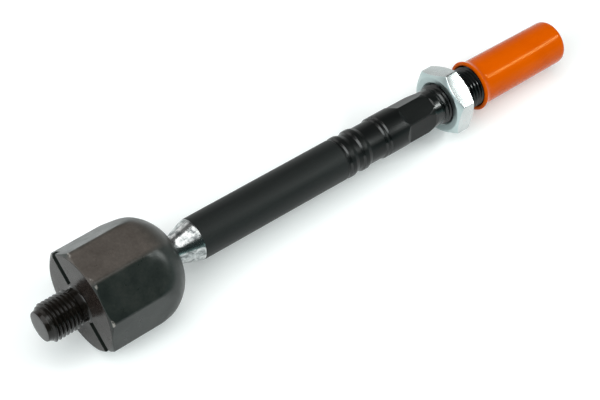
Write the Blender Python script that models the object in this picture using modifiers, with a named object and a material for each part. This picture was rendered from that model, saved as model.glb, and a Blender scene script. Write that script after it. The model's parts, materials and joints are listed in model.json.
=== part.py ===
"""An inner tie rod: a ball joint in an octagonal socket that screws to a steering rack,
with its rod, lock nut and plastic thread cap. It lies on a flat of the socket, and the
rod droops until a corner of the nut touches the ground.

Lengths are in metres, +Z is up, and +X runs from the rack's end to the cap.
Every turned profile lists (radius, height) points along its piece's own axis, +Z.
"""
from math import acos, asin, atan, cos, hypot, pi, radians, sin, sqrt, tan

import bmesh
import bpy
from mathutils import Matrix

# Running and seating gaps
GAP = 0.0003

# Threaded stud that screws into the rack
STUD_RADIUS = 0.0070
STUD_LENGTH = 0.0160
STUD_TIP_LENGTH = 0.0014
STUD_TIP_INSET = 0.0012
STUD_TIP_TAPER = 0.00035
STUD_RELIEF_DEPTH = 0.0008
STUD_RELIEF_LENGTH = 0.0024
STUD_FILLET = 0.0008

# Socket: an octagon that closes to a dome round the ball, heights measured from its end face
SOCKET_ACROSS_FLATS = 0.0360
SOCKET_SIDES = 8
SOCKET_CORNER_BREAK = 0.00008
SOCKET_BEVEL_WIDTH = 0.0015
SOCKET_BEVEL_DEPTH = 0.0008
SLOT_WIDTH = 0.0034
SLOT_DEPTH = 0.0020
SLOT_ANGLE = radians(124.5)
BALL_HEIGHT = 0.0225

# Rolled lip that keeps the ball in
DOME_MARGIN = 0.0011
LIP_ANGLE = radians(50)
LIP_LENGTH = 0.00231
LIP_WIDTH = 0.00075
LIP_ROUND = 0.0003

# Ball, seat and swing
BALL_RADIUS = 0.0120
BALL_POLE_FLAT = 0.0025
SEAT_WALL = 0.0017
SEAT_INSET_ANGLE = radians(4)
SEAT_BACK_ANGLE = radians(165)
SEAT_SLITS = 4
SEAT_SLIT_WIDTH = 0.0010
SEAT_SLIT_DEPTH = 0.0120
SWING = radians(20)

# Neck, cone and shaft, heights measured from the ball's centre
NECK_RADIUS = 0.0052
NECK_FILLET = 0.0010
NECK_END = 0.0159
CONE_LENGTH = 0.0077
SHAFT_RADIUS = 0.0079
SHAFT_LENGTH = 0.0679

# Two beads with grooves before and between them, then the seat of the rubber boot
BEAD_HEIGHT = 0.0001
BEAD_CREST = 0.0013
BEAD_SPACING = 0.0060
BEAD_FLANK = 0.0017
BEAD_GROOVE_DEPTH = 0.0005
LEAD_GROOVE_DEPTH = 0.0003
LEAD_GROOVE_LENGTH = 0.0009
BOOT_SEAT_DEPTH = 0.00045
BOOT_SEAT_LENGTH = 0.00635
BOOT_SEAT_FLANK = 0.0012

# Collar with its clip groove, then the spanner hexagon, whose flats ramp out of the collar
COLLAR_LAND = 0.00045
CLIP_GROOVE_WIDTH = 0.0006
CLIP_GROOVE_DEPTH = 0.0005
CLIP_GROOVE_FLANK = 0.00015
CLIP_GROOVE_RAMP = 0.0007
COLLAR_LENGTH = 0.0095
HEX_LENGTH = 0.0132
HEX_TAPER_LENGTH = 0.0035
HEX_ACROSS_FLATS = 0.0140
HEX_TURN = radians(19)
HEX_RAMP_ANGLE = atan(0.5)

# Rod thread
THREAD_RADIUS = 0.00795
THREAD_LENGTH = 0.0586
THREAD_CHAMFER = 0.0012
THREAD_NECK_DEPTH = 0.00065
THREAD_NECK_LENGTH = 0.0032

# Lock nut
NUT_INSET = 0.0033
NUT_THICKNESS = 0.0080
NUT_ACROSS_FLATS = 0.0236
NUT_FACE_INSET = 0.0013
NUT_CHAMFER_ANGLE = radians(30)
NUT_COUNTERSINK = 0.0005

# Thread cap
CAP_STANDOFF = 0.0083
CAP_WALL = 0.00065
CAP_TAPER = 0.00025
CAP_LIP_WIDTH = 0.0016
CAP_LIP_LENGTH = 0.0029
CAP_LIP_ROUND = 0.0006
CAP_END_GAP = 0.0031
CAP_END_WALL = 0.0018
CAP_END_ROUND = 0.0018

# Facets round each turned shape, and along its curves
SOCKET_STEPS = 64
ROD_STEPS = 48
NUT_STEPS = 48
CAP_STEPS = 40
SEAT_STEPS = 32
ARC_STEP = radians(9)
SMALL_ARC_STEP = radians(30)
MERGE = 0.000002
SHARP_EDGE = radians(28)

# Socket sizes that follow
SOCKET_APOTHEM = SOCKET_ACROSS_FLATS / 2
SOCKET_TURNED_RADIUS = SOCKET_APOTHEM / cos(pi / SOCKET_SIDES) - SOCKET_CORNER_BREAK
SOCKET_FACE_RADIUS = SOCKET_TURNED_RADIUS - SOCKET_BEVEL_WIDTH
STUD_RELIEF_RADIUS = STUD_RADIUS - STUD_RELIEF_DEPTH
STUD_TIP_RADIUS = STUD_RADIUS - STUD_TIP_INSET
SEAT_INNER_RADIUS = BALL_RADIUS + GAP
SEAT_OUTER_RADIUS = SEAT_INNER_RADIUS + SEAT_WALL
SEAT_FRONT_ANGLE = LIP_ANGLE + SEAT_INSET_ANGLE
CAVITY_RADIUS = SEAT_OUTER_RADIUS + GAP
MOUTH_REACH = CAVITY_RADIUS * cos(LIP_ANGLE) + LIP_LENGTH
MOUTH_HEIGHT = BALL_HEIGHT + MOUTH_REACH
MOUTH_RADIUS = (NECK_RADIUS + GAP) / cos(SWING) + MOUTH_REACH * tan(SWING)
DOME_RADIUS = SOCKET_TURNED_RADIUS + DOME_MARGIN
DOME_CENTRE = MOUTH_HEIGHT - sqrt(DOME_RADIUS ** 2 - (MOUTH_RADIUS + LIP_WIDTH) ** 2)

# Places along the rod that follow, from the ball's centre
CONE_END = NECK_END + CONE_LENGTH
FIRST_BEAD = CONE_END + SHAFT_LENGTH
SECOND_BEAD = FIRST_BEAD + BEAD_SPACING
BOOT_SEAT_START = SECOND_BEAD + BEAD_CREST / 2 + BEAD_FLANK
BOOT_SEAT_END = BOOT_SEAT_START + BOOT_SEAT_LENGTH
CLIP_GROOVE_START = BOOT_SEAT_END + BOOT_SEAT_FLANK + COLLAR_LAND + CLIP_GROOVE_FLANK
CLIP_GROOVE_END = CLIP_GROOVE_START + CLIP_GROOVE_WIDTH
HEX_START = CLIP_GROOVE_END + CLIP_GROOVE_RAMP + COLLAR_LENGTH
HEX_END = HEX_START + HEX_LENGTH
THREAD_START = HEX_END + THREAD_NECK_LENGTH
THREAD_END = THREAD_START + THREAD_LENGTH
THREAD_NECK_RADIUS = THREAD_RADIUS - THREAD_NECK_DEPTH
COLLAR_RADIUS = SHAFT_RADIUS + BEAD_HEIGHT
BOOT_SEAT_RADIUS = SHAFT_RADIUS - BOOT_SEAT_DEPTH

# Nut and cap sizes that follow
NUT_PLACE = THREAD_START + NUT_INSET
NUT_BORE_RADIUS = THREAD_RADIUS + GAP
NUT_CORNER_RADIUS = NUT_ACROSS_FLATS / 2 / cos(pi / 6)
NUT_FACE_RADIUS = NUT_ACROSS_FLATS / 2 - NUT_FACE_INSET
CAP_PLACE = NUT_PLACE + NUT_THICKNESS + CAP_STANDOFF
CAP_LENGTH = THREAD_END + CAP_END_GAP + CAP_END_WALL - CAP_PLACE
CAP_BORE_RADIUS = THREAD_RADIUS + GAP
CAP_MOUTH_RADIUS = CAP_BORE_RADIUS + CAP_WALL
CAP_END_RADIUS = CAP_MOUTH_RADIUS - CAP_TAPER
CAP_LIP_RADIUS = CAP_BORE_RADIUS + CAP_LIP_WIDTH

# The rod droops until the nut's lower corner is level with the socket's lower flat
NUT_SIDE_DROP = (NUT_CORNER_RADIUS - NUT_FACE_RADIUS) * tan(NUT_CHAMFER_ANGLE)
NUT_FOOT = NUT_PLACE + NUT_THICKNESS - NUT_SIDE_DROP
DROOP = asin(SOCKET_APOTHEM / hypot(NUT_FOOT, NUT_CORNER_RADIUS)) - atan(NUT_CORNER_RADIUS / NUT_FOOT)
CAP_REACH = (
    (CAP_PLACE + CAP_LENGTH - CAP_END_ROUND) * cos(DROOP)
    + (CAP_END_RADIUS - CAP_END_ROUND) * sin(DROOP)
    + CAP_END_ROUND
)
FACE_X = (STUD_LENGTH - BALL_HEIGHT - CAP_REACH) / 2
BALL_X = FACE_X + BALL_HEIGHT


def clear_scene():
    for thing in list(bpy.data.objects):
        bpy.data.objects.remove(thing, do_unlink=True)


def make_collection(name):
    group = bpy.data.collections.new(name)
    bpy.context.scene.collection.children.link(group)
    return group


def material(name, colour, roughness, metallic):
    made = bpy.data.materials.new(name)
    made.use_nodes = True
    shader = made.node_tree.nodes["Principled BSDF"]
    shader.inputs["Base Color"].default_value = (*colour, 1)
    shader.inputs["Roughness"].default_value = roughness
    shader.inputs["Metallic"].default_value = metallic
    return made


def arc(centre, radius, start, end, step=ARC_STEP):
    """Profile points on a circle, its centre at (radius, height); angle 0 points up the axis."""
    count = max(1, round(abs(end - start) / step))
    angles = [start + (end - start) * i / count for i in range(count + 1)]
    return [(centre[0] + radius * sin(a), centre[1] + radius * cos(a)) for a in angles]


def mesh_object(name, mesh, group, colour=None):
    made = bpy.data.objects.new(name, mesh)
    group.objects.link(made)
    if colour:
        mesh.materials.append(colour)
    return made


def turned(name, profile, steps, group, colour=None, closed=False):
    """Turn a profile round the Z axis; it runs up the inside and down the outside."""
    mesh = bpy.data.meshes.new(name)
    points = [(radius, 0, height) for radius, height in profile]
    edges = [(i, i + 1) for i in range(len(points) - 1)]
    if closed:
        edges.append((len(points) - 1, 0))
    mesh.from_pydata(points, edges, [])
    made = mesh_object(name, mesh, group, colour)
    screw = made.modifiers.new("turn", "SCREW")
    screw.axis = "Z"
    screw.angle = 2 * pi
    screw.steps = steps
    screw.render_steps = steps
    screw.use_merge_vertices = True
    screw.merge_threshold = MERGE
    return made


def prism(name, sides, flat_angle, sections, group):
    """An upright prism with one flat's normal at flat_angle from +X.

    Each section is (size across flats, height), from the bottom to the top.
    """
    corners = [flat_angle + (2 * k + 1) * pi / sides for k in range(sides)]
    points = []
    for across_flats, height in sections:
        radius = across_flats / 2 / cos(pi / sides)
        points += [(radius * cos(a), radius * sin(a), height) for a in corners]
    faces = [tuple(reversed(range(sides)))]
    for low in range(0, len(points) - sides, sides):
        for k in range(sides):
            after = (k + 1) % sides
            faces.append((low + k, low + after, low + sides + after, low + sides + k))
    faces.append(tuple(range(len(points) - sides, len(points))))
    mesh = bpy.data.meshes.new(name)
    mesh.from_pydata(points, [], faces)
    return mesh_object(name, mesh, group)


def box(name, size, centre, turn, group):
    """A box of the given size, centred, turned about Z."""
    mesh = bpy.data.meshes.new(name)
    form = bmesh.new()
    bmesh.ops.create_cube(form, size=1)
    bmesh.ops.scale(form, vec=size, verts=form.verts)
    bmesh.ops.translate(form, verts=form.verts, vec=centre)
    bmesh.ops.rotate(form, verts=form.verts, matrix=Matrix.Rotation(turn, 3, "Z"))
    form.to_mesh(mesh)
    form.free()
    return mesh_object(name, mesh, group)


def cut(piece, tool, operation="DIFFERENCE"):
    tool.hide_render = True
    tool.display_type = "WIRE"
    change = piece.modifiers.new(tool.name, "BOOLEAN")
    change.operation = operation
    change.solver = "EXACT"
    change.object = tool


def socket_profile():
    """Cavity, rolled mouth, dome, body, end face and stud as one forging."""
    cavity_back = BALL_HEIGHT - CAVITY_RADIUS
    cavity = arc((0, BALL_HEIGHT), CAVITY_RADIUS, pi, LIP_ANGLE)
    rim_angle = acos((MOUTH_HEIGHT - DOME_CENTRE) / DOME_RADIUS)
    mouth = [
        (MOUTH_RADIUS, MOUTH_HEIGHT - LIP_ROUND),
        (MOUTH_RADIUS + LIP_ROUND, MOUTH_HEIGHT),
    ]
    dome = arc((0, DOME_CENTRE), DOME_RADIUS, rim_angle, asin(SOCKET_TURNED_RADIUS / DOME_RADIUS))
    body = [
        (SOCKET_TURNED_RADIUS, SOCKET_BEVEL_DEPTH),
        (SOCKET_FACE_RADIUS, 0),
    ]
    fillet_centre = (STUD_RELIEF_RADIUS + STUD_FILLET, -STUD_FILLET)
    fillet = arc(fillet_centre, STUD_FILLET, 0, -pi / 2, SMALL_ARC_STEP)
    stud = [
        (STUD_RELIEF_RADIUS, -STUD_RELIEF_LENGTH),
        (STUD_RADIUS, -STUD_RELIEF_LENGTH - (STUD_RADIUS - STUD_RELIEF_RADIUS)),
        (STUD_RADIUS, STUD_TIP_LENGTH + STUD_TIP_INSET - STUD_LENGTH),
        (STUD_TIP_RADIUS, STUD_TIP_LENGTH - STUD_LENGTH),
        (STUD_TIP_RADIUS - STUD_TIP_TAPER, -STUD_LENGTH),
        (0, -STUD_LENGTH),
    ]
    return [(0, cavity_back)] + cavity[1:] + mouth + dome + body + fillet + stud


def make_socket(group, cutters, steel):
    """The socket stands on its end face and is laid down by its parent."""
    piece = turned("socket_housing", socket_profile(), SOCKET_STEPS, group, steel)
    margin = STUD_LENGTH
    octagon = prism("socket_octagon", SOCKET_SIDES, 0, [
        (SOCKET_ACROSS_FLATS, -STUD_LENGTH - margin), (SOCKET_ACROSS_FLATS, MOUTH_HEIGHT + margin),
    ], cutters)
    cut(piece, octagon, "INTERSECT")
    # A driver slot lies across the end face, on both sides of the stud
    slot_reach = SOCKET_TURNED_RADIUS * 1.2
    slot_start = STUD_RELIEF_RADIUS + STUD_FILLET + GAP
    for side, name in ((1, "slot_upper"), (-1, "slot_lower")):
        length = slot_reach - slot_start
        size = (length, SLOT_WIDTH, 2 * SLOT_DEPTH)
        centre = (side * (slot_start + length / 2), 0, 0)
        cut(piece, box(name, size, centre, SLOT_ANGLE, cutters))
    return piece, [tool.object for tool in piece.modifiers if tool.type == "BOOLEAN"]


def make_seat(group, cutters, plastic):
    """The plastic shell round the ball, slit at its front so that it snaps over the ball."""
    outer = arc((0, 0), SEAT_OUTER_RADIUS, SEAT_FRONT_ANGLE, SEAT_BACK_ANGLE)
    inner = arc((0, 0), SEAT_INNER_RADIUS, SEAT_BACK_ANGLE, SEAT_FRONT_ANGLE)
    piece = turned("ball_seat", outer + inner, SEAT_STEPS, group, plastic, closed=True)
    front = SEAT_OUTER_RADIUS * cos(SEAT_FRONT_ANGLE)
    reach = SEAT_OUTER_RADIUS * 1.1
    tools = []
    for i in range(SEAT_SLITS):
        size = (reach, SEAT_SLIT_WIDTH, 2 * SEAT_SLIT_DEPTH)
        turn = (i + 0.5) * 2 * pi / SEAT_SLITS
        slit = box(f"seat_slit_{i + 1}", size, (reach / 2, 0, front), turn, cutters)
        cut(piece, slit)
        tools.append(slit)
    return piece, tools


def bead(centre):
    """The two ends of a bead's crest, which stands a little proud of the shaft."""
    return centre - BEAD_CREST / 2, centre + BEAD_CREST / 2


def rod_profile():
    """From the thread's end down to the ball's back pole."""
    thread = [
        (0, THREAD_END),
        (THREAD_RADIUS - THREAD_CHAMFER, THREAD_END),
        (THREAD_RADIUS, THREAD_END - THREAD_CHAMFER),
        (THREAD_RADIUS, THREAD_START),
        (THREAD_NECK_RADIUS, THREAD_START - (THREAD_RADIUS - THREAD_NECK_RADIUS)),
    ]
    grip = [
        (THREAD_NECK_RADIUS, HEX_END),
        (COLLAR_RADIUS, HEX_END - HEX_TAPER_LENGTH),
    ]
    collar = [
        (COLLAR_RADIUS, CLIP_GROOVE_END + CLIP_GROOVE_RAMP),
        (COLLAR_RADIUS - CLIP_GROOVE_DEPTH, CLIP_GROOVE_END),
        (COLLAR_RADIUS - CLIP_GROOVE_DEPTH, CLIP_GROOVE_START),
        (COLLAR_RADIUS, CLIP_GROOVE_START - CLIP_GROOVE_FLANK),
        (COLLAR_RADIUS, BOOT_SEAT_END + BOOT_SEAT_FLANK),
        (BOOT_SEAT_RADIUS, BOOT_SEAT_END),
    ]
    crest = SHAFT_RADIUS + BEAD_HEIGHT
    groove = SHAFT_RADIUS - BEAD_GROOVE_DEPTH
    second_low, second_high = bead(SECOND_BEAD)
    first_low, first_high = bead(FIRST_BEAD)
    lead_groove_end = first_low - BEAD_FLANK
    beads = [
        (BOOT_SEAT_RADIUS, BOOT_SEAT_START),
        (crest, second_high),
        (crest, second_low),
        (groove, second_low - BEAD_FLANK),
        (groove, first_high + BEAD_FLANK),
        (crest, first_high),
        (crest, first_low),
        (SHAFT_RADIUS - LEAD_GROOVE_DEPTH, lead_groove_end),
        (SHAFT_RADIUS, lead_groove_end - LEAD_GROOVE_LENGTH),
    ]
    neck = [
        (SHAFT_RADIUS, CONE_END),
        (NECK_RADIUS, NECK_END),
    ]
    fillet_radius = NECK_RADIUS + NECK_FILLET
    fillet_height = sqrt((BALL_RADIUS + NECK_FILLET) ** 2 - fillet_radius ** 2)
    touch = asin(fillet_radius / (BALL_RADIUS + NECK_FILLET))
    fillet = arc((fillet_radius, fillet_height), NECK_FILLET, -pi / 2, touch - pi, SMALL_ARC_STEP)
    ball = arc((0, 0), BALL_RADIUS, touch, pi - asin(BALL_POLE_FLAT / BALL_RADIUS))
    pole = [(0, -sqrt(BALL_RADIUS ** 2 - BALL_POLE_FLAT ** 2))]
    return thread + grip + collar + beads + neck + fillet + ball[1:] + pole


def make_rod(group, cutters, steel):
    """Ball, neck, shaft and thread are one forging, with a hexagon for a spanner."""
    piece = turned("tie_rod", rod_profile(), ROD_STEPS, group, steel)
    flat = HEX_ACROSS_FLATS / 2
    reach = COLLAR_RADIUS + GAP
    ramp = max(reach - flat, GAP) / tan(HEX_RAMP_ANGLE)
    waste_profile = [
        (0, HEX_END + ramp), (reach + GAP, HEX_END + ramp),
        (reach + GAP, HEX_START - ramp), (0, HEX_START - ramp),
    ]
    waste = turned("hexagon_waste", waste_profile, ROD_STEPS, cutters)
    # The core flares at both ends, so that each flat runs out in a ramp
    flare = 2 * ramp
    wide = HEX_ACROSS_FLATS + 2 * flare * tan(HEX_RAMP_ANGLE)
    core = prism("hexagon_core", 6, HEX_TURN, [
        (wide, HEX_START - flare), (HEX_ACROSS_FLATS, HEX_START),
        (HEX_ACROSS_FLATS, HEX_END), (wide, HEX_END + flare),
    ], cutters)
    cut(waste, core)
    cut(piece, waste)
    return piece, [waste, core]


def make_nut(group, cutters, zinc):
    """A thin hexagon nut, chamfered on both faces, resting on one corner."""
    blank_radius = NUT_CORNER_RADIUS * 1.04
    drop = (blank_radius - NUT_FACE_RADIUS) * tan(NUT_CHAMFER_ANGLE)
    sink = NUT_BORE_RADIUS + NUT_COUNTERSINK
    profile = [
        (sink, NUT_THICKNESS),
        (NUT_FACE_RADIUS, NUT_THICKNESS),
        (blank_radius, NUT_THICKNESS - drop),
        (blank_radius, drop),
        (NUT_FACE_RADIUS, 0),
        (sink, 0),
        (NUT_BORE_RADIUS, NUT_COUNTERSINK),
        (NUT_BORE_RADIUS, NUT_THICKNESS - NUT_COUNTERSINK),
    ]
    piece = turned("lock_nut", profile, NUT_STEPS, group, zinc, closed=True)
    hexagon = prism("nut_hexagon", 6, pi / 6, [
        (NUT_ACROSS_FLATS, -NUT_THICKNESS), (NUT_ACROSS_FLATS, 2 * NUT_THICKNESS),
    ], cutters)
    cut(piece, hexagon, "INTERSECT")
    return piece, [hexagon]


def make_cap(group, plastic):
    """A moulded sleeve with a closed end and a flared lip."""
    inside_end = CAP_LENGTH - CAP_END_WALL
    lip = [
        (CAP_MOUTH_RADIUS, CAP_LIP_LENGTH),
        (CAP_LIP_RADIUS - CAP_LIP_ROUND / 4, CAP_LIP_ROUND * 2),
        (CAP_LIP_RADIUS, CAP_LIP_ROUND),
        (CAP_LIP_RADIUS - CAP_LIP_ROUND / 3, CAP_LIP_ROUND / 3),
        (CAP_LIP_RADIUS - CAP_LIP_ROUND, 0),
        (CAP_BORE_RADIUS + CAP_LIP_ROUND / 4, 0),
        (CAP_BORE_RADIUS, CAP_LIP_ROUND),
    ]
    corner_centre = (CAP_END_RADIUS - CAP_END_ROUND, CAP_LENGTH - CAP_END_ROUND)
    corner = arc(corner_centre, CAP_END_ROUND, 0, pi / 2, SMALL_ARC_STEP)
    profile = [(0, CAP_LENGTH)] + corner + lip + [(CAP_BORE_RADIUS, inside_end), (0, inside_end)]
    return turned("thread_cap", profile, CAP_STEPS, group, plastic), []


def carry(parent, pieces, height=0.0):
    """Put pieces on a parent's axis, with their origin at the given height along it."""
    for piece in pieces:
        piece.parent = parent
        piece.location = (0, 0, height)


def build():
    clear_scene()
    parts = make_collection("inner_tie_rod")
    cutters = make_collection("cutters")

    phosphate = material("phosphated steel", (0.085, 0.080, 0.074), 0.42, 0.75)
    coated = material("black coated steel", (0.020, 0.024, 0.025), 0.40, 0.60)
    zinc = material("zinc plated steel", (0.70, 0.73, 0.74), 0.25, 1.0)
    natural = material("natural acetal", (0.80, 0.79, 0.74), 0.50, 0.0)
    orange = material("orange plastic", (0.90, 0.27, 0.01), 0.30, 0.0)

    socket_axis = bpy.data.objects.new("socket_axis", None)
    socket_axis.location = (FACE_X, 0, SOCKET_APOTHEM)
    socket_axis.rotation_euler = (0, pi / 2, 0)
    rod_axis = bpy.data.objects.new("rod_axis", None)
    rod_axis.location = (BALL_X, 0, SOCKET_APOTHEM)
    rod_axis.rotation_euler = (0, pi / 2 + DROOP, 0)
    for axis in (socket_axis, rod_axis):
        parts.objects.link(axis)

    socket, socket_tools = make_socket(parts, cutters, phosphate)
    carry(socket_axis, [socket] + socket_tools)
    seat, seat_tools = make_seat(parts, cutters, natural)
    carry(socket_axis, [seat] + seat_tools, BALL_HEIGHT)
    rod, rod_tools = make_rod(parts, cutters, coated)
    carry(rod_axis, [rod] + rod_tools)
    nut, nut_tools = make_nut(parts, cutters, zinc)
    carry(rod_axis, [nut] + nut_tools, NUT_PLACE)
    cap, cap_tools = make_cap(parts, orange)
    carry(rod_axis, [cap] + cap_tools, CAP_PLACE)
    bpy.context.view_layer.update()
    for piece in (socket, seat, rod, nut, cap):
        finish(piece)


def finish(piece):
    """Keep the finished shape, its round faces smooth and its edges sharp."""
    shape = piece.evaluated_get(bpy.context.evaluated_depsgraph_get())
    mesh = bpy.data.meshes.new_from_object(shape)
    mesh.shade_smooth()
    mesh.set_sharp_from_angle(angle=SHARP_EDGE)
    mesh.name = piece.name
    piece.modifiers.clear()
    piece.data = mesh


build()
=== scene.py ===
"""Inner tie rod, as a photographer would lay it on a white table.

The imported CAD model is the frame. Each visible piece is a finer mesh of the same form, with
real threads, rounded edges and its own material. Lengths are in metres; a piece's local +Z is
its own axis, and local +X points down.
"""

import json
from math import acos, asin, atan2, ceil, cos, hypot, pi, radians, sin, sqrt, tan

import bmesh
import bpy
from mathutils import Matrix, Vector


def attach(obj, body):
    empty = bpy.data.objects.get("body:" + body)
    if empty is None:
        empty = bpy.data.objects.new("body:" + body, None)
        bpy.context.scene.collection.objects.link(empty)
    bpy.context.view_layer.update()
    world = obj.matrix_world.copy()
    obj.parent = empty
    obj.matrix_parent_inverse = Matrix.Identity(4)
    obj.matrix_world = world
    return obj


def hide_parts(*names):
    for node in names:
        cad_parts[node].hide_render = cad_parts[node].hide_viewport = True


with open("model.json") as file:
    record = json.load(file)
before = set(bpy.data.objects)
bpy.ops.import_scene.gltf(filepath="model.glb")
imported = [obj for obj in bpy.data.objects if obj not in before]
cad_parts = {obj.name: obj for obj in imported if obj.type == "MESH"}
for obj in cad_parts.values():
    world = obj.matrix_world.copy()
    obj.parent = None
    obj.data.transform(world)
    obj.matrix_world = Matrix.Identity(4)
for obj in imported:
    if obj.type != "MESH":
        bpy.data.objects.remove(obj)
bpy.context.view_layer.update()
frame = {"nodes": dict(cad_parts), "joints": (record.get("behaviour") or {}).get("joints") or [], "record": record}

MM = 0.001


# Places and axes, read from the frame

def joint(name):
    return next(j for j in frame["joints"] if j["name"] == name)


def mount(name):
    return next(m for m in frame["record"]["mounts"] if m["name"] == name)


FACE_X = mount("rack_shoulder")["pos_m"][0]
BALL = Vector(joint("ball_swing")["pos_m"])
ROD_AXIS = Vector(joint("cap_slide")["axis"])


def axis_matrix(origin, axis):
    """A frame at origin with +Z along the axis, +Y level and +X downward."""
    z = Vector(axis).normalized()
    y = Vector((0, 1, 0))
    x = y.cross(z)
    turn = Matrix((x, y, z)).transposed().to_4x4()
    return Matrix.Translation(origin) @ turn


SOCKET_FRAME = axis_matrix((FACE_X, 0, BALL.z), (1, 0, 0))
ROD_FRAME = axis_matrix(BALL, ROD_AXIS)


# Profiles, as lists of (radius, height, setback): a setback rounds the corner at that point

TOUCHING = 1e-9
SIDE_SHARE = 0.48


def in_mm(rows):
    return [tuple(value * MM for value in row) for row in rows]


def soften(points, steps=4):
    """Round a profile's corners, each within its share of a side, and drop the setbacks."""
    out = []
    last = len(points) - 1
    for i, (r, z, set_back) in enumerate(points):
        if set_back <= 0 or i in (0, last):
            out.append((r, z))
            continue
        ends = []
        for other in (points[i - 1], points[i + 1]):
            dr, dz = other[0] - r, other[1] - z
            length = hypot(dr, dz)
            if length < TOUCHING:
                ends.append((r, z))
                continue
            reach = min(set_back, length * SIDE_SHARE) / length
            ends.append((r + dr * reach, z + dz * reach))
        (ar, az), (cr, cz) = ends
        for k in range(steps + 1):
            t = k / steps
            a, b, c = (1 - t) ** 2, 2 * t * (1 - t), t * t
            out.append((a * ar + b * r + c * cr, a * az + b * z + c * cz))
    return out


def arc(centre_r, centre_z, radius, start, end, count):
    """Profile points on a circle, with angle 0 up the axis."""
    out = []
    for i in range(count + 1):
        a = start + (end - start) * i / count
        out.append((centre_r + radius * sin(a), centre_z + radius * cos(a), 0.0))
    return out


def soft_min(a, b, width):
    """The smaller of two radii, with a soft border where they are close."""
    near = max(width - abs(a - b), 0.0) / width
    return min(a, b) - near * near * width / 4


# Polygons with rounded corners

def corner_reach(sides, apothem, rounding):
    """How far out a corner's rounding has its centre, and half the angle that it spans."""
    half = pi / sides
    centre = (apothem - rounding) / cos(half)
    return centre, atan2(rounding * sin(half), centre + rounding * cos(half))


def polygon_radius(sides, apothem, rounding, first_flat, angle):
    """Distance from the centre to the outline."""
    step = 2 * pi / sides
    off = (angle - first_flat + step / 2) % step - step / 2
    beta = step / 2 - abs(off)
    centre, touch = corner_reach(sides, apothem, rounding)
    if beta >= touch:
        return apothem / cos(off)
    return centre * cos(beta) + sqrt(max(0.0, rounding ** 2 - (centre * sin(beta)) ** 2))


def polygon_angles(sides, first_flat, fillet, corner_steps, flat_steps):
    """Angles round the outline, close together where its corners round off."""
    out = []
    for k in range(sides):
        flat = first_flat + 2 * pi * k / sides
        half = pi / sides - fillet
        out += [flat - half + 2 * half * i / flat_steps for i in range(flat_steps)]
        out += [flat + half + 2 * fillet * i / corner_steps for i in range(corner_steps)]
    return sorted(a % (2 * pi) for a in out)


# Meshes

SHARP = radians(32)
WELD = 1e-7
DEGENERATE = 1e-8


def mesh_from(name, form):
    """Turn a bmesh into a mesh, and free it."""
    data = bpy.data.meshes.new(name)
    form.to_mesh(data)
    form.free()
    return data


def shade(data, sharp):
    """Smooth shading, apart from the edges that bend by more than the sharp angle."""
    data.shade_smooth()
    data.set_sharp_from_angle(angle=sharp)


def add_object(name, data, place=Matrix.Identity(4)):
    made = bpy.data.objects.new(name, data)
    bpy.context.scene.collection.objects.link(made)
    made.matrix_world = place
    return made


class Skin:
    """Builds one closed mesh from columns of points that share the same angles."""

    def __init__(self, angles):
        self.angles = angles
        self.mesh = bmesh.new()

    def column(self, angle, profile):
        return [self.mesh.verts.new((r * cos(angle), r * sin(angle), z)) for r, z in profile]

    def sections(self, section_at):
        """section_at(angle) gives a list of (radius, height), of one length at every angle."""
        columns = [self.column(a, section_at(a)) for a in self.angles]
        for left, right in zip(columns, columns[1:] + columns[:1]):
            for k in range(len(left) - 1):
                self.mesh.faces.new((left[k], right[k], right[k + 1], left[k + 1]))

    def thread(self, low, high, pitch, profile, shape):
        """A helical surface between two heights; profile lists (share of a pitch, radius).

        shape(height, radius) gives the finished radius, so it can fade and chamfer the thread.
        The radius is None at the two ends, where the thread meets a plain circle.
        """
        turns = ceil((high - low) / pitch) + 2
        columns = []
        for a in self.angles:
            points = []
            for turn in range(turns):
                for share, radius in profile:
                    z = low + (turn - 1 + share + a / (2 * pi)) * pitch
                    z = min(max(z, low), high)
                    points.append((shape(z, None if z <= low or z >= high else radius), z))
            columns.append(self.column(a, points))
        last = len(columns) - 1
        for i, left in enumerate(columns):
            # The last column meets the first one a whole turn higher
            right, shift = (columns[0], len(profile)) if i == last else (columns[i + 1], 0)
            for k in range(len(left) - 1 - shift):
                far = k + shift
                self.mesh.faces.new((left[k], right[far], right[far + 1], left[k + 1]))

    def finish(self, name, place, materials, pick=None, sharp=SHARP):
        """Weld and close the mesh; pick(a face's middle) gives the number of its material."""
        form = self.mesh
        bmesh.ops.remove_doubles(form, verts=form.verts, dist=WELD)
        bmesh.ops.dissolve_degenerate(form, edges=form.edges, dist=DEGENERATE)
        bmesh.ops.holes_fill(form, edges=[e for e in form.edges if e.is_boundary], sides=4)
        bmesh.ops.recalc_face_normals(form, faces=form.faces)
        if pick:
            for face in form.faces:
                face.material_index = pick(face.calc_center_median())
        data = mesh_from(name, form)
        for material in materials:
            data.materials.append(material)
        shade(data, sharp)
        return add_object(name, data, place)


def subtract(piece, cutter):
    """Cut one object out of another, keep the result and remove the cutter."""
    change = piece.modifiers.new("cut", "BOOLEAN")
    change.operation = "DIFFERENCE"
    change.solver = "EXACT"
    change.object = cutter
    bpy.context.view_layer.update()
    cut = piece.evaluated_get(bpy.context.evaluated_depsgraph_get())
    data = bpy.data.meshes.new_from_object(cut)
    piece.modifiers.clear()
    piece.data = data
    bpy.data.objects.remove(cutter, do_unlink=True)
    shade(data, SHARP)


def metric_profile(major, minor):
    """A rolled 60 degree thread's section, as (share of a pitch, radius)."""
    depth = major - minor
    return [
        (0.00, major), (0.05, major), (0.085, major - 0.07 * depth),
        (0.34, minor + 0.10 * depth), (0.40, minor), (0.50, minor),
        (0.60, minor), (0.66, minor + 0.10 * depth),
        (0.915, major - 0.07 * depth), (0.95, major),
    ]


# Nodes

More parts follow.
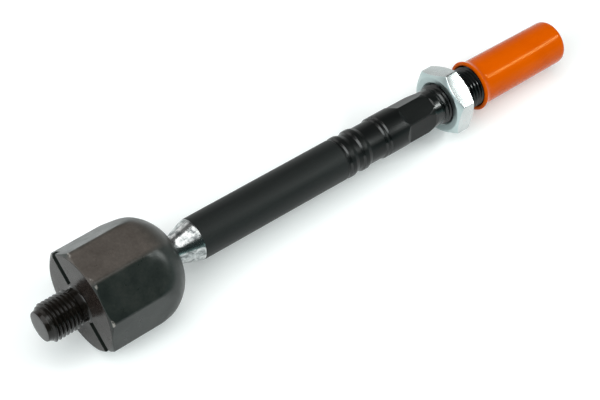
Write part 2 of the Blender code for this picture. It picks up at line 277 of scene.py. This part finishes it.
class Nodes:
    """Adds nodes to a tree. A value is a number, a vector or another node's output."""

    def __init__(self, tree):
        self.tree = tree

    def node(self, kind, **settings):
        made = self.tree.nodes.new(kind)
        for name, value in settings.items():
            setattr(made, name, value)
        return made

    def feed(self, socket, value):
        """Link an output to a socket, or write a plain value in it."""
        if isinstance(value, bpy.types.NodeSocket):
            self.tree.links.new(value, socket)
        else:
            socket.default_value = value

    def math(self, operation, *values):
        made = self.node("ShaderNodeMath", operation=operation)
        for socket, value in zip(made.inputs, values):
            self.feed(socket, value)
        return made.outputs["Value"]

    def times(self, *values):
        product = values[0]
        for value in values[1:]:
            product = self.math("MULTIPLY", product, value)
        return product

    def spread(self, value, low, high, from_low=0.3, from_high=0.7, curve="LINEAR"):
        """Carry a value from its own range over to low and high, and no further."""
        made = self.node("ShaderNodeMapRange", interpolation_type=curve)
        self.feed(made.inputs["Value"], value)
        self.feed(made.inputs["From Min"], from_low)
        self.feed(made.inputs["From Max"], from_high)
        self.feed(made.inputs["To Min"], low)
        self.feed(made.inputs["To Max"], high)
        return made.outputs["Result"]

    def split(self, vector):
        made = self.node("ShaderNodeSeparateXYZ")
        self.feed(made.inputs["Vector"], vector)
        return made.outputs

    def mix(self, amount, a, b):
        """From colour a to colour b."""
        made = self.node("ShaderNodeMix", data_type="RGBA")
        self.feed(made.inputs["Factor"], amount)
        colours = [s for s in made.inputs if s.type == "RGBA"]
        for socket, value in zip(colours, (a, b)):
            self.feed(socket, (*value, 1) if isinstance(value, tuple) else value)
        return next(s for s in made.outputs if s.type == "RGBA")

    def backdrop_rays(self):
        """1 for the rays that show a background: to the camera, in metal and through glass."""
        path = self.node("ShaderNodeLightPath")
        seen = path.outputs["Is Camera Ray"]
        for ray in ("Is Glossy Ray", "Is Transmission Ray"):
            seen = self.math("MAXIMUM", seen, path.outputs[ray])
        return seen


class Look(Nodes):
    """A Principled material with helpers for its procedural detail."""

    def __init__(self, name, metallic=0.0, specular=0.5):
        self.material = bpy.data.materials.new(name)
        self.material.use_nodes = True
        super().__init__(self.material.node_tree)
        self.shader = self.tree.nodes["Principled BSDF"]
        self.set("Metallic", metallic)
        self.set("Specular IOR Level", specular)
        self.place = self.node("ShaderNodeTexCoord").outputs["Object"]

    def set(self, socket, value):
        self.feed(self.shader.inputs[socket], value)

    def noise(self, scale, detail=4.0, rough=0.55, stretch=(1, 1, 1), distortion=0.0):
        mapping = self.node("ShaderNodeMapping")
        self.feed(mapping.inputs["Vector"], self.place)
        self.feed(mapping.inputs["Scale"], stretch)
        made = self.node("ShaderNodeTexNoise")
        self.feed(made.inputs["Vector"], mapping.outputs["Vector"])
        self.feed(made.inputs["Scale"], scale)
        self.feed(made.inputs["Detail"], detail)
        self.feed(made.inputs["Roughness"], rough)
        self.feed(made.inputs["Distortion"], distortion)
        return made.outputs["Fac"]

    def weigh(self, a, share, b):
        """A share of a, and the rest of b."""
        return self.math("ADD", self.times(a, share), self.times(b, 1 - share))

    def ramp(self, value, *stops):
        """Colours at their places along a value, as (place, (red, green, blue))."""
        made = self.node("ShaderNodeValToRGB")
        line = made.color_ramp
        while len(line.elements) > 1:
            line.elements.remove(line.elements[-1])
        for i, (place, colour) in enumerate(stops):
            stop = line.elements[0] if i == 0 else line.elements.new(place)
            stop.position = place
            stop.color = (*colour, 1)
        self.feed(made.inputs["Fac"], value)
        return made.outputs["Color"]

    def bump(self, height, strength, distance):
        made = self.node("ShaderNodeBump")
        self.feed(made.inputs["Height"], height)
        self.feed(made.inputs["Strength"], strength)
        self.feed(made.inputs["Distance"], distance)
        self.set("Normal", made.outputs["Normal"])


# The socket's sizes. Heights are measured from its end face

APOTHEM = BALL.z
SIDE_APOTHEM = APOTHEM + 0.25 * MM
CORNER_ROUND = 1.4 * MM
TURNED_R = SIDE_APOTHEM / cos(pi / 8) - 0.10 * MM
FACE_R = TURNED_R - 1.75 * MM
BEVEL_SLOPE = 0.8 / 1.5

SLOT_ANGLE = radians(124.5)
SLOT_WIDTH = 3.4 * MM
SLOT_DEPTH = 2.0 * MM
SLOT_LENGTH = 16 * MM

PITCH = 1.5 * MM
STUD_R = 7.0 * MM
STUD_MINOR = 6.08 * MM
STUD_END = -16.0 * MM
STUD_FILLET = 0.8 * MM
TIP_R = 5.45 * MM
TIP_NECK_R = 5.8 * MM
TIP_NECK = -14.6 * MM
RELIEF_R = 6.2 * MM
RELIEF_END = -2.6 * MM

CAVITY_Z = 22.5 * MM
CAVITY_R = 14.3 * MM
CAVITY_OPENING = radians(50)
MOUTH_R = 10.25 * MM

# The dome is a quarter of an ellipse, set out from the axis and cut off at the lip
DOME_INSET = 3.05 * MM
DOME_START = 20.2 * MM
DOME_RISE = 16.6 * MM
DOME_ROWS = 30
LIP_WIDTH = 0.75 * MM
RIM = acos((MOUTH_R + LIP_WIDTH - DOME_INSET) / (TURNED_R - DOME_INSET))
MOUTH_Z = DOME_START + DOME_RISE * sin(RIM)

# The edges between the flats and the dome grow soft over the first part of the dome
SOFT_WIDTH = 1.0 * MM
SOFT_RISE = 3 * MM


# Materials

TONE_PLACES = (0.36, 0.50, 0.64)
# Lighter brown tones for the top flat: painted light from above
TOP_LIGHT_TONES = (0.050, 0.041, 0.035), (0.066, 0.056, 0.049), (0.086, 0.073, 0.064)
# Light speckles at the face's rim corners: chipped wear and painted glints
CHIP_AND_GLINT_COLOUR = (0.42, 0.40, 0.37)


def phosphate_steel(name, roughness, specular, tones, chips_and_glints=0.0, forged_with_top_light=False):
    """Steel under a dark phosphate and oil film, clouded and grained, with light speckles at the face's rim
    corners: chipped wear and painted glints.

    For the flats and dome, it is rougher up the dome, and the top flat is painted a lighter brown: painted light
    from above, fading up the dome.
    """
    look = Look(name, specular=specular)
    clouds = look.weigh(look.noise(95, 5, 0.62), 0.70, look.noise(1100, 3, 0.6))
    colour = look.ramp(clouds, *zip(TONE_PLACES, tones))
    finish = look.spread(look.noise(240, 4), roughness - 0.05, roughness + 0.05)
    x, y, z = look.split(look.place)
    reach = look.math("SQRT", look.math("ADD", look.times(x, x), look.times(y, y)))
    if forged_with_top_light:
        # Painted light: the top flat is painted a lighter brown, as if lit from above, and this fades up the dome
        top_light_mask = look.spread(look.math("DIVIDE", x, reach), 1.0, 0.0, -0.945, -0.905)
        top_light_fade = look.spread(z, 1.0, 0.3, 23 * MM, 31 * MM)
        brown = look.ramp(clouds, *zip(TONE_PLACES, TOP_LIGHT_TONES))
        colour = look.mix(look.times(top_light_mask, top_light_fade), colour, brown)
        rougher = look.spread(z, 0.0, 0.07, DOME_START, DOME_START + 8 * MM)
        finish = look.math("ADD", finish, rougher)
    if chips_and_glints:
        # Light speckles at the rim corners by the face: chipped wear and painted glints
        chip_glint_specks = look.spread(look.noise(420, 3, 0.6), 0.0, chips_and_glints, 0.50, 0.58)
        corner = look.spread(reach, 0.0, 1.0, TURNED_R - 0.9 * MM, TURNED_R - 0.2 * MM)
        by_the_face = look.spread(z, 1.0, 0.0, 0.7 * MM, 1.5 * MM)
        colour = look.mix(look.times(chip_glint_specks, corner, by_the_face), colour, CHIP_AND_GLINT_COLOUR)
    look.set("Base Color", colour)
    look.set("Roughness", finish)
    look.bump(clouds, 0.14, 0.00008)
    return look.material


def forged_steel():
    tones = (0.007, 0.010, 0.009), (0.013, 0.017, 0.015), (0.022, 0.025, 0.022)
    return phosphate_steel("forged steel", 0.31, 0.31, tones, chips_and_glints=0.9, forged_with_top_light=True)


def turned_face():
    tones = (0.016, 0.012, 0.010), (0.020, 0.015, 0.013), (0.026, 0.020, 0.017)
    return phosphate_steel("turned face", 0.24, 0.20, tones, chips_and_glints=0.6)


def oiled_stud():
    tones = (0.003, 0.003, 0.002), (0.006, 0.005, 0.004), (0.012, 0.010, 0.008)
    return phosphate_steel("oiled stud", 0.17, 0.27, tones)


def black_coat(name, roughness, specular, tone):
    """Steel under a thin black coat, drawn a little along its length."""
    look = Look(name, specular=specular)
    drawn = look.noise(240, 4, 0.6, stretch=(1, 1, 0.12))
    fine = look.noise(1600, 3, 0.6)
    look.set("Base Color", look.ramp(
        look.weigh(drawn, 0.6, fine),
        (0.30, (0.50 * tone, 0.70 * tone, 0.66 * tone)),
        (0.55, (0.75 * tone, tone, 0.95 * tone)),
        (0.75, (1.30 * tone, 1.65 * tone, 1.55 * tone)),
    ))
    look.set("Roughness", look.spread(drawn, roughness - 0.06, roughness + 0.06))
    look.bump(fine, 0.10, 0.00006)
    return look.material


def bare_steel():
    """Ground steel at the neck, with rings from turning and dark smudges."""
    look = Look("bare steel", metallic=1.0)
    rings = look.noise(2600, 3, 0.6, stretch=(0.02, 0.02, 1))
    waves = look.noise(900, 2, 0.5, stretch=(0.05, 0.05, 1))
    smudges = look.noise(420, 4, 0.6, distortion=0.6)
    look.set("Base Color", look.ramp(
        smudges,
        (0.34, (0.10, 0.11, 0.115)),
        (0.47, (0.34, 0.36, 0.36)),
        (0.62, (0.60, 0.61, 0.61)),
    ))
    look.set("Roughness", look.spread(smudges, 0.26, 0.13))
    look.bump(look.weigh(rings, 0.35, waves), 0.45, 0.00009)
    return look.material


def zinc_plate(name, roughness, tone, tint):
    """Bright zinc under a thin blue passivation; on the nut's faces a tealer, darker tone stands for painted
    reflected shade.
    """
    look = Look(name, metallic=1.0)
    low, high = (tuple(tone * k * t for t in tint) for k in (0.94, 1.05))
    look.set("Base Color", look.ramp(look.noise(140, 4), (0.35, low), (0.65, high)))
    look.set("Roughness", look.spread(look.noise(420, 3), roughness - 0.03, roughness + 0.04))
    look.bump(look.noise(700, 3), 0.03, 0.00003)
    return look.material


def orange_plastic():
    """Soft moulded polyethylene, slightly waxy."""
    look = Look("orange plastic", specular=0.11)
    look.set("Specular Tint", (1.0, 0.6, 0.05, 1))
    look.set("Base Color", look.ramp(
        look.noise(90, 3), (0.3, (0.63, 0.088, 0.0)), (0.7, (0.69, 0.102, 0.0))))
    look.set("Roughness", look.spread(look.noise(700, 3), 0.12, 0.18))
    look.bump(look.noise(900, 4), 0.10, 0.00005)
    return look.material


def acetal():
    """The hidden seat's plastic."""
    look = Look("natural acetal")
    look.set("Base Color", look.ramp(
        look.noise(300, 3), (0.3, (0.72, 0.70, 0.64)), (0.7, (0.80, 0.78, 0.72))))
    look.bump(look.noise(1200, 3), 0.08, 0.00006)
    return look.material


# Socket

def socket_section(angle):
    """From the back of the ball's cavity, over the lip and dome, to the stud's relief."""
    side = min(polygon_radius(8, SIDE_APOTHEM, CORNER_ROUND, 0, angle), TURNED_R)
    if cos(angle) > 0.9:
        # The flat that lies on the table
        side = min(side, APOTHEM / cos(angle))
    points = arc(0, CAVITY_Z, CAVITY_R, pi, CAVITY_OPENING, 18)
    points[-1] = (*points[-1][:2], 0.5 * MM)
    points += [(MOUTH_R, MOUTH_Z - 0.25 * MM, 0.3 * MM), (MOUTH_R + 0.4 * MM, MOUTH_Z, 0.25 * MM)]
    for i in range(DOME_ROWS + 1):
        t = RIM * (1 - i / DOME_ROWS)
        dome = DOME_INSET + (TURNED_R - DOME_INSET) * cos(t)
        z = DOME_START + DOME_RISE * sin(t)
        width = SOFT_WIDTH * min((z - DOME_START) / SOFT_RISE, 1.0)
        radius = soft_min(side, dome, width) if width > 0 else side
        points.append((radius, z, 0.35 * MM if i == 0 else 0.0))
    bevel_z = (side - FACE_R) * BEVEL_SLOPE
    for share in (0.75, 0.5, 0.25):
        points.append((side, bevel_z + (DOME_START - bevel_z) * share, 0.0))
    points += [(side, bevel_z, 0.22 * MM), (FACE_R, 0.0, 0.25 * MM)]
    points += [(14.0 * MM, 0.0, 0.0), (10.0 * MM, 0.0, 0.0)]
    points += arc(RELIEF_R + STUD_FILLET, -STUD_FILLET, STUD_FILLET, 0, -pi / 2, 6)
    points.append((RELIEF_R, RELIEF_END, 0.0))
    return soften(points)


def stud_thread(z, radius):
    """Full thread between the relief groove and the smooth tip."""
    run_in = RELIEF_R + (RELIEF_END - z)
    tip = TIP_NECK_R + (z - TIP_NECK)
    full = STUD_R if radius is None else radius
    return min(full, run_in, tip)


def tip_section(angle):
    return soften([
        (TIP_NECK_R, TIP_NECK, 0.0), (TIP_NECK_R - 0.05 * MM, TIP_NECK - 0.2 * MM, 0.1 * MM),
        (TIP_R, STUD_END, 0.18 * MM), (3.0 * MM, STUD_END, 0.0), (0, STUD_END, 0.0),
    ])


def slot_cutter(side):
    """A bar across one half of the end face."""
    form = bmesh.new()
    bmesh.ops.create_cube(form, size=1)
    middle = RELIEF_R + 1.1 * MM + SLOT_LENGTH / 2
    bmesh.ops.scale(form, vec=(SLOT_LENGTH, SLOT_WIDTH, 2 * SLOT_DEPTH), verts=form.verts)
    bmesh.ops.translate(form, vec=(side * middle, 0, 0), verts=form.verts)
    bmesh.ops.rotate(form, verts=form.verts, matrix=Matrix.Rotation(SLOT_ANGLE, 3, "Z"))
    return add_object("slot", mesh_from("slot", form), SOCKET_FRAME)


def make_socket(materials):
    """The materials are 0 the forged flats and dome, 1 the turned end face, 2 the stud."""
    fillet = corner_reach(8, SIDE_APOTHEM, CORNER_ROUND)[1]
    skin = Skin(polygon_angles(8, 0, fillet * 1.15, corner_steps=6, flat_steps=20))
    skin.sections(socket_section)
    skin.thread(TIP_NECK, RELIEF_END, PITCH, metric_profile(STUD_R, STUD_MINOR), stud_thread)
    skin.sections(tip_section)

    def pick(centre):
        if abs(centre.z) < 0.05 * MM:
            return 1
        return 0 if centre.z > 0 else 2

    piece = skin.finish("socket_steel", SOCKET_FRAME, materials, pick)
    for side in (1, -1):
        subtract(piece, slot_cutter(side))
    return piece


# Rod. Heights are measured from the ball's centre

BALL_R = 12.0 * MM
POLE_R = 2.5 * MM
NECK_R = 5.2 * MM
NECK_FILLET = 1.0 * MM
CONE_START = 15.9 * MM
CONE_END = 23.6 * MM
SHAFT_R = 7.9 * MM
COLLAR_R = 8.0 * MM
HEX_START = 118.8 * MM
HEX_END = 132.0 * MM
HEX_TAPER = 3.5 * MM
HEX_FLAT = 7.0 * MM
HEX_TURN = radians(19)
HEX_RAMP = 2
THREAD_R = 7.95 * MM
THREAD_MINOR = 7.03 * MM
THREAD_NECK_R = 7.3 * MM
THREAD_CHAMFER = 1.2 * MM
THREAD_START = 134.55 * MM
THREAD_RISE = 3.4 * MM
THREAD_END = 193.8 * MM

# The beads and grooves of the boot's seat and the clip groove, as (radius, height, setback) in mm
RINGS = (
    (7.9, 88.4, 0.10), (7.55, 88.9, 0.10), (7.55, 89.5, 0.08), (8.05, 90.1, 0.10),
    (8.05, 91.9, 0.14), (7.42, 93.7, 0.25), (7.42, 95.6, 0.10), (8.05, 96.3, 0.12),
    (8.05, 98.15, 0.14), (7.45, 99.85, 0.25), (7.45, 106.55, 0.12), (8.0, 107.15, 0.12),
    (8.0, 107.9, 0.05), (7.5, 108.0, 0.05), (7.5, 108.65, 0.06), (8.0, 109.2, 0.10),
)
COAT_START = CONE_END + 0.35 * MM
DEEP_COAT_START = 88.4 * MM

# The bead and groove flanks, the neck and the thread, where the coat shines, as heights in mm
SHINY = ((89.5, 90.2), (95.6, 96.4), (106.5, 107.25), (108.65, 109.3), (131.4, 200.0))


def rod_section(angle):
    """From the ball's back pole to the start of the thread."""
    fillet_r, ball_reach = NECK_R + NECK_FILLET, BALL_R + NECK_FILLET
    touch = asin(fillet_r / ball_reach)
    points = [(0, -sqrt(BALL_R ** 2 - POLE_R ** 2), 0.0)]
    points += arc(0, 0, BALL_R, pi - asin(POLE_R / BALL_R), touch, 24)
    fillet_z = sqrt(ball_reach ** 2 - fillet_r ** 2)
    points += arc(fillet_r, fillet_z, NECK_FILLET, touch - pi, -pi / 2, 5)[1:]
    points.append((NECK_R, CONE_START, 1.2 * MM))
    for share in (0.25, 0.5, 0.75):
        r = NECK_R + (SHAFT_R - NECK_R) * share
        points.append((r, CONE_START + (CONE_END - CONE_START) * share, 0.0))
    points.append((SHAFT_R, CONE_END, 0.7 * MM))
    points += [(SHAFT_R, z * MM, 0.0) for z in (30, 50, 70)]
    points += in_mm(RINGS)

    # The hexagon's flats ramp out of the collar, and taper into the thread's neck
    off = (angle - HEX_TURN + pi / 6) % (pi / 3) - pi / 6
    flat = min(HEX_FLAT / cos(off), COLLAR_R)
    ramp = HEX_RAMP * (COLLAR_R * cos(off) - HEX_FLAT)
    points.append((COLLAR_R, HEX_START - max(ramp, 0.0), 0.25 * MM))
    points.append((flat, HEX_START, 0.5 * MM))
    if flat > THREAD_NECK_R:
        taper_share = (COLLAR_R - flat) / (COLLAR_R - THREAD_NECK_R)
        points.append((flat, HEX_END - HEX_TAPER * (1 - taper_share), 0.4 * MM))
        points.append((THREAD_NECK_R, HEX_END, 0.5 * MM))
    else:
        ramp = HEX_RAMP * (THREAD_NECK_R * cos(off) - HEX_FLAT)
        points.append((flat, HEX_END, 0.3 * MM))
        points.append((THREAD_NECK_R, HEX_END + ramp, 0.3 * MM))
    points.append((THREAD_NECK_R, HEX_END + 1.2 * MM, 0.0))
    points.append((THREAD_NECK_R, THREAD_START, 0.0))
    return soften(points)


def rod_thread(z, radius):
    """The rolled thread rises smoothly out of its neck, and ends in a chamfer."""
    full = THREAD_R if radius is None else radius
    share = min(max((z - THREAD_START) / THREAD_RISE, 0.0), 1.0)
    share = share * share * (3 - 2 * share)
    chamfer = THREAD_R - THREAD_CHAMFER + (THREAD_END - z)
    return min(THREAD_NECK_R + (full - THREAD_NECK_R) * share, chamfer)


def rod_end_section(angle):
    return [(THREAD_R - THREAD_CHAMFER, THREAD_END), (4 * MM, THREAD_END), (0, THREAD_END)]


def rod_angles():
    """Angles round the rod, close together at the edges of the hexagon's flats."""
    out = []
    edge = acos(HEX_FLAT / COLLAR_R)
    rounding = radians(0.6)
    inner = edge - rounding
    steps = 9
    for k in range(6):
        flat = HEX_TURN + k * pi / 3
        out += [flat - inner + 2 * inner * i / steps for i in range(steps + 1)]
        out += [flat + edge, flat + edge + rounding, flat + pi / 6]
        out += [flat + pi / 3 - edge - rounding, flat + pi / 3 - edge]
    return sorted(a % (2 * pi) for a in out)


def make_rod(materials):
    """The materials are 0 the matt coat, 1 bare steel, 2 the deep coat, 3 the shiny coat."""
    skin = Skin(rod_angles())
    skin.sections(rod_section)
    skin.thread(
        THREAD_START, THREAD_END, PITCH, metric_profile(THREAD_R, THREAD_MINOR), rod_thread)
    skin.sections(rod_end_section)

    def pick(centre):
        if centre.z < COAT_START:
            return 1
        if centre.z < DEEP_COAT_START:
            return 0
        return 3 if any(low < centre.z / MM < high for low, high in SHINY) else 2

    return skin.finish("rod_steel", ROD_FRAME, materials, pick)


# Lock nut, on the rod's axis

NUT_START = 138.5 * MM
NUT_THICKNESS = 8.0 * MM
NUT_APOTHEM = 11.8 * MM
NUT_ROUND = 0.5 * MM
NUT_FACE_R = 10.9 * MM
NUT_CHAMFER_ANGLE = radians(30)
NUT_BORE_R = 8.02 * MM
NUT_SINK_R = 8.75 * MM
NUT_FIRST_FLAT = radians(30)


def nut_section(angle):
    """Once round the ring, from the bore back to the bore."""
    side = polygon_radius(6, NUT_APOTHEM, NUT_ROUND, NUT_FIRST_FLAT, angle)
    drop = max(side - NUT_FACE_R, 0.0) * tan(NUT_CHAMFER_ANGLE)
    top = NUT_THICKNESS
    points = [
        (NUT_BORE_R, 0.45 * MM, 0.0),
        (NUT_BORE_R, top / 2, 0.0),
        (NUT_BORE_R, top - 0.6 * MM, 0.0),
        (NUT_SINK_R, top, 0.12 * MM),
        (NUT_FACE_R, top, 0.2 * MM),
        (side, top - drop, 0.25 * MM),
        (side, top * 0.5, 0.0),
        (side, drop, 0.25 * MM),
        (NUT_FACE_R, 0.0, 0.2 * MM),
        (NUT_SINK_R, 0.0, 0.12 * MM),
        (NUT_BORE_R, 0.45 * MM, 0.0),
    ]
    return [(r, z + NUT_START) for r, z in soften(points)]


def make_nut(materials):
    """The materials are 0 the six flats, 1 the two faces with their chamfers, and the bore."""
    fillet = corner_reach(6, NUT_APOTHEM, NUT_ROUND)[1]
    skin = Skin(polygon_angles(6, NUT_FIRST_FLAT, fillet, corner_steps=6, flat_steps=12))
    skin.sections(nut_section)

    def pick(centre):
        flats = (NUT_FIRST_FLAT + k * pi / 3 for k in range(6))
        reach = max(centre.x * cos(a) + centre.y * sin(a) for a in flats)
        return 0 if reach > NUT_APOTHEM - 0.09 * MM else 1

    return skin.finish("nut_zinc", ROD_FRAME, materials, pick, sharp=radians(24))


# Thread cap, on the rod's axis

CAP_START = 154.8 * MM

# From inside the closed end, round the lip, to the outside of the closed end, in mm
CAP_PROFILE = (
    (0, 42.1, 0), (4, 42.1, 0), (8.25, 42.1, 0.4), (8.25, 20, 0), (8.25, 1.0, 0.3),
    (8.55, 0, 0.2), (9.35, 0, 0.3), (9.85, 0.25, 0.3), (9.85, 0.7, 0.3), (9.3, 1.6, 0.6),
    (8.9, 2.9, 0.8), (8.86, 10, 0), (8.80, 20, 0), (8.72, 32, 0), (8.65, 43.9, 2.2),
    (5, 43.9, 0), (0, 43.9, 0),
)
CAP_COLUMNS = 96


def cap_section(angle):
    return [(r, z + CAP_START) for r, z in soften(in_mm(CAP_PROFILE), 6)]


def make_cap(plastic):
    skin = Skin([2 * pi * i / CAP_COLUMNS for i in range(CAP_COLUMNS)])
    skin.sections(cap_section)
    return skin.finish("cap_plastic_piece", ROD_FRAME, [plastic])


# Studio

TABLE_HALF_WIDTH = 4.0
TABLE_COLOUR = (0.82, 0.83, 0.83, 1)
TABLE_GLOW_COLOUR = (0.93, 1, 1, 1)
TABLE_GLOW = 0.25

# The world's light grows from the front to the back
STUDIO_FRONT = 0.04
STUDIO_BACK = 0.10
FRONT_COLOUR = (0.60, 1.0, 0.97)
BACK_COLOUR = (1.0, 1.0, 0.99)

# The backdrop, which is seen but gives no light
BACKDROP = 1.0
HORIZON = 0.80

# Soft boxes: direction from the object, distance, width, height, radiance and colour
LAMPS = {
    "top box": ((-0.16, -0.07, 1.0), 1.0, 1.15, 0.80, 2.25, (1.0, 0.99, 0.98)),
    "front strip": ((0.70, -0.45, 0.60), 1.1, 0.52, 0.10, 31.0, (0.95, 1.0, 0.98)),
    "end box": ((-0.80, -0.15, 0.60), 1.0, 0.66, 0.66, 4.6, (0.95, 1.0, 1.0)),
}

# The photograph's view, solved from the circles of the rod, cap and socket
IMAGE_WIDTH = 600
VIEW_ELEVATION = radians(49.616)
VIEW_AZIMUTH = radians(-43.356)
VIEW_ROLL = radians(5.578)
VIEW_DISTANCE = 600.825 * MM
VIEW_TARGET = Vector((FACE_X + 85.89 * MM, 0, 15 * MM))
FOCAL_PIXELS = 1700.491
SHIFT_PIXELS = (18.477, -7.813)
SENSOR_WIDTH = 36


def make_table():
    """A white table that keeps the object's shadow."""
    form = bmesh.new()
    bmesh.ops.create_grid(form, x_segments=1, y_segments=1, size=TABLE_HALF_WIDTH)
    look = Look("white table", specular=0.0)
    look.set("Base Color", TABLE_COLOUR)
    look.set("Roughness", 0.9)
    look.set("Emission Color", TABLE_GLOW_COLOUR)
    look.set("Emission Strength", look.times(look.backdrop_rays(), TABLE_GLOW))
    table = add_object("table", mesh_from("table", form))
    table.data.materials.append(look.material)


def make_world():
    """A dim studio. Its bright horizon and back are seen, but light nothing."""
    world = bpy.data.worlds.new("studio")
    bpy.context.scene.world = world
    world.use_nodes = True
    sky = Nodes(world.node_tree)
    x, y, z = sky.split(sky.node("ShaderNodeTexCoord").outputs["Generated"])

    def span(axis, low, high, at_low, at_high):
        return sky.spread(axis, at_low, at_high, low, high, "SMOOTHSTEP")

    upright = span(z, 0.40, 0.60, 1.0, 0.1)
    behind = sky.times(span(y, 0.1, 0.8, 0.0, BACKDROP), upright, span(x, -0.1, 0.6, 1.0, 0.4))
    horizon = sky.times(span(z, 0.06, 0.24, HORIZON, 0.0), span(x, -0.4, 0.4, 0.12, 1.0))
    backdrop = sky.times(sky.backdrop_rays(), sky.math("MAXIMUM", behind, horizon))
    studio = span(y, -0.6, 0.4, STUDIO_FRONT, STUDIO_BACK)
    tint = sky.mix(span(y, -0.4, 0.3, 0.0, 1.0), FRONT_COLOUR, BACK_COLOUR)
    shader = world.node_tree.nodes["Background"]
    sky.feed(shader.inputs["Strength"], sky.math("ADD", studio, backdrop))
    sky.feed(shader.inputs["Color"], tint)


def make_lamp(name, direction, distance, width, height, radiance, colour):
    """A soft box that faces the object."""
    lamp = bpy.data.lights.new(name, "AREA")
    lamp.shape = "RECTANGLE"
    lamp.size = width
    lamp.size_y = height
    lamp.energy = radiance * pi * width * height
    lamp.color = colour
    away = Vector(direction).normalized()
    turn = away.to_track_quat("Z", "Y").to_matrix().to_4x4()
    box = add_object(name, lamp, Matrix.Translation(away * distance) @ turn)
    box.visible_camera = False


def make_camera():
    back = Vector((
        sin(VIEW_AZIMUTH) * cos(VIEW_ELEVATION),
        -cos(VIEW_AZIMUTH) * cos(VIEW_ELEVATION),
        sin(VIEW_ELEVATION),
    ))
    level = Vector((0, 0, 1)).cross(back).normalized()
    upright = back.cross(level)
    right = level * cos(VIEW_ROLL) + upright * sin(VIEW_ROLL)
    up = -level * sin(VIEW_ROLL) + upright * cos(VIEW_ROLL)
    data = bpy.data.cameras.new("view")
    data.sensor_width = SENSOR_WIDTH
    data.lens = FOCAL_PIXELS * SENSOR_WIDTH / IMAGE_WIDTH
    data.shift_x, data.shift_y = (pixels / IMAGE_WIDTH for pixels in SHIFT_PIXELS)
    data.clip_start = 0.01
    turn = Matrix((right, up, back)).transposed().to_4x4()
    place = Matrix.Translation(VIEW_TARGET + back * VIEW_DISTANCE)
    bpy.context.scene.camera = add_object("view", data, place @ turn)


make_camera()
make_table()
make_world()
for lamp_name, settings in LAMPS.items():
    make_lamp(lamp_name, *settings)

socket = make_socket([forged_steel(), turned_face(), oiled_stud()])
rod = make_rod([
    black_coat("matt black coat", 0.52, 0.26, 0.009),
    bare_steel(),
    black_coat("deep black coat", 0.36, 0.20, 0.004),
    black_coat("shiny black coat", 0.20, 0.50, 0.004),
])
nut = make_nut([
    zinc_plate("zinc sides", 0.25, 0.57, (0.95, 1.0, 1.0)),
    # The faces' zinc is tealer and a little darker: painted shade that they reflect
    zinc_plate("zinc faces with painted shade", 0.30, 0.54, (0.84, 1.0, 1.0)),
])
cap = make_cap(orange_plastic())
seat = frame["nodes"]["ball_seat"]
seat.data.materials.clear()
seat.data.materials.append(acetal())

for piece, body, node, slot in (
    (socket, "housing", "socket_housing", "housing_steel"),
    (rod, "rod", "tie_rod", "rod_steel"),
    (nut, "nut", "lock_nut", "zinc_steel"),
    (cap, "cap", "thread_cap", "cap_plastic"),
):
    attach(piece, body)
    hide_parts(node)

bpy.context.scene.view_settings.view_transform = "Standard"
